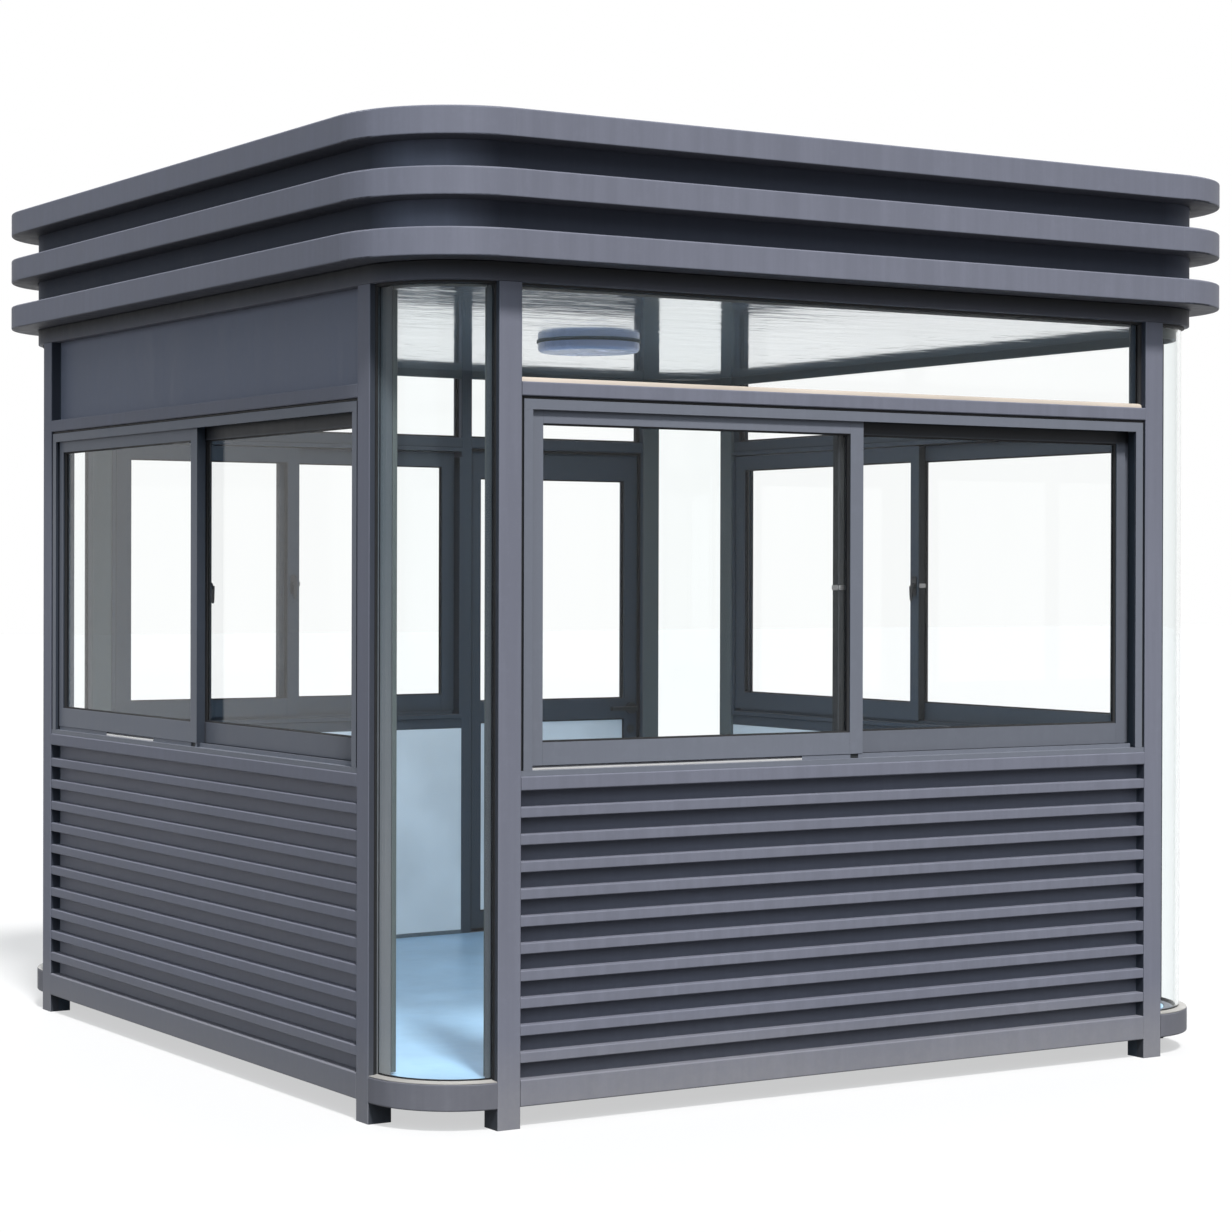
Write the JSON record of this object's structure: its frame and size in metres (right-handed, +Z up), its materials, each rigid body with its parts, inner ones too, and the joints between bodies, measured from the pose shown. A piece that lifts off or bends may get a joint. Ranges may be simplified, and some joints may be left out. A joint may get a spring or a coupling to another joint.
{
  "type": "security guard booth",
  "caption": "Square steel guard booth with rounded glazed corners, sliding windows, ribbed lower walls, a banded flat roof and a hinged door.",
  "frame": {"origin": "centre of the plan, on the level of the feet's undersides", "axes": "+Z up, -Y out of the front wall, +X to the right as seen from the front"},
  "size_m": [3.19, 3.19, 2.82],
  "materials": {
    "frame_paint": "satin dark grey paint",
    "wall_panel_paint": "satin dark grey paint",
    "window_frame_finish": "dark grey powder coat",
    "glass": "clear float glass",
    "ceiling_finish": "glossy light grey sheet",
    "floor_finish": "smooth light blue sheet",
    "lining_finish": "light blue coated board",
    "handle_metal": "brushed",
    "hinge_metal": "brushed",
    "lamp_diffuser": "satin opal acrylic",
    "roof_deck_finish": "matt grey coating"
  },
  "bodies": {
    "booth": {"back_lower_wall": "wall_panel_paint", "back_window_frame": "window_frame_finish", "back_window_glass": "glass", "back_window_sashes": "window_frame_finish", "base_beams": "frame_paint", "base_corners": "frame_paint", "ceiling": "ceiling_finish", "ceiling_lamp": "lamp_diffuser", "corner_glass": "glass", "door_hinges_fixed": "hinge_metal", "door_post": "frame_paint", "fascia_corners": "frame_paint", "fascia_walls": "frame_paint", "floor": "floor_finish", "front_lower_wall": "wall_panel_paint", "front_window_frame": "window_frame_finish", "front_window_glass": "glass", "front_window_sashes": "window_frame_finish", "inner_lining": "lining_finish", "left_lower_wall": "wall_panel_paint", "left_upper_panel": "wall_panel_paint", "left_window_frame": "window_frame_finish", "left_window_glass": "glass", "left_window_sashes": "window_frame_finish", "posts": "frame_paint", "right_lower_wall": "wall_panel_paint", "right_window_frame": "window_frame_finish", "right_window_glass": "glass", "right_window_sashes": "window_frame_finish", "ring_beams": "frame_paint", "ring_corners": "frame_paint", "roof_band_lower_corners": "frame_paint", "roof_band_lower_sides": "frame_paint", "roof_band_middle_corners": "frame_paint", "roof_band_middle_sides": "frame_paint", "roof_band_upper_corners": "frame_paint", "roof_band_upper_sides": "frame_paint", "roof_deck": "roof_deck_finish", "sill_beams": "frame_paint", "transom_beams": "frame_paint", "upper_glass": "glass", "wall_ribs": "frame_paint"},
    "door": {"door_leaf": "frame_paint", "door_glass": "glass", "door_panel": "lining_finish", "door_handles": "handle_metal", "door_hinges_moving": "hinge_metal"}
  },
  "joints": [
    {"name": "door_swing", "type": "hinge", "parent": "booth", "child": "door", "pos_m": [0.3675, 1.508, 0.135], "axis": [0, 0, 1], "range_deg": [0, 100]}
  ]
}
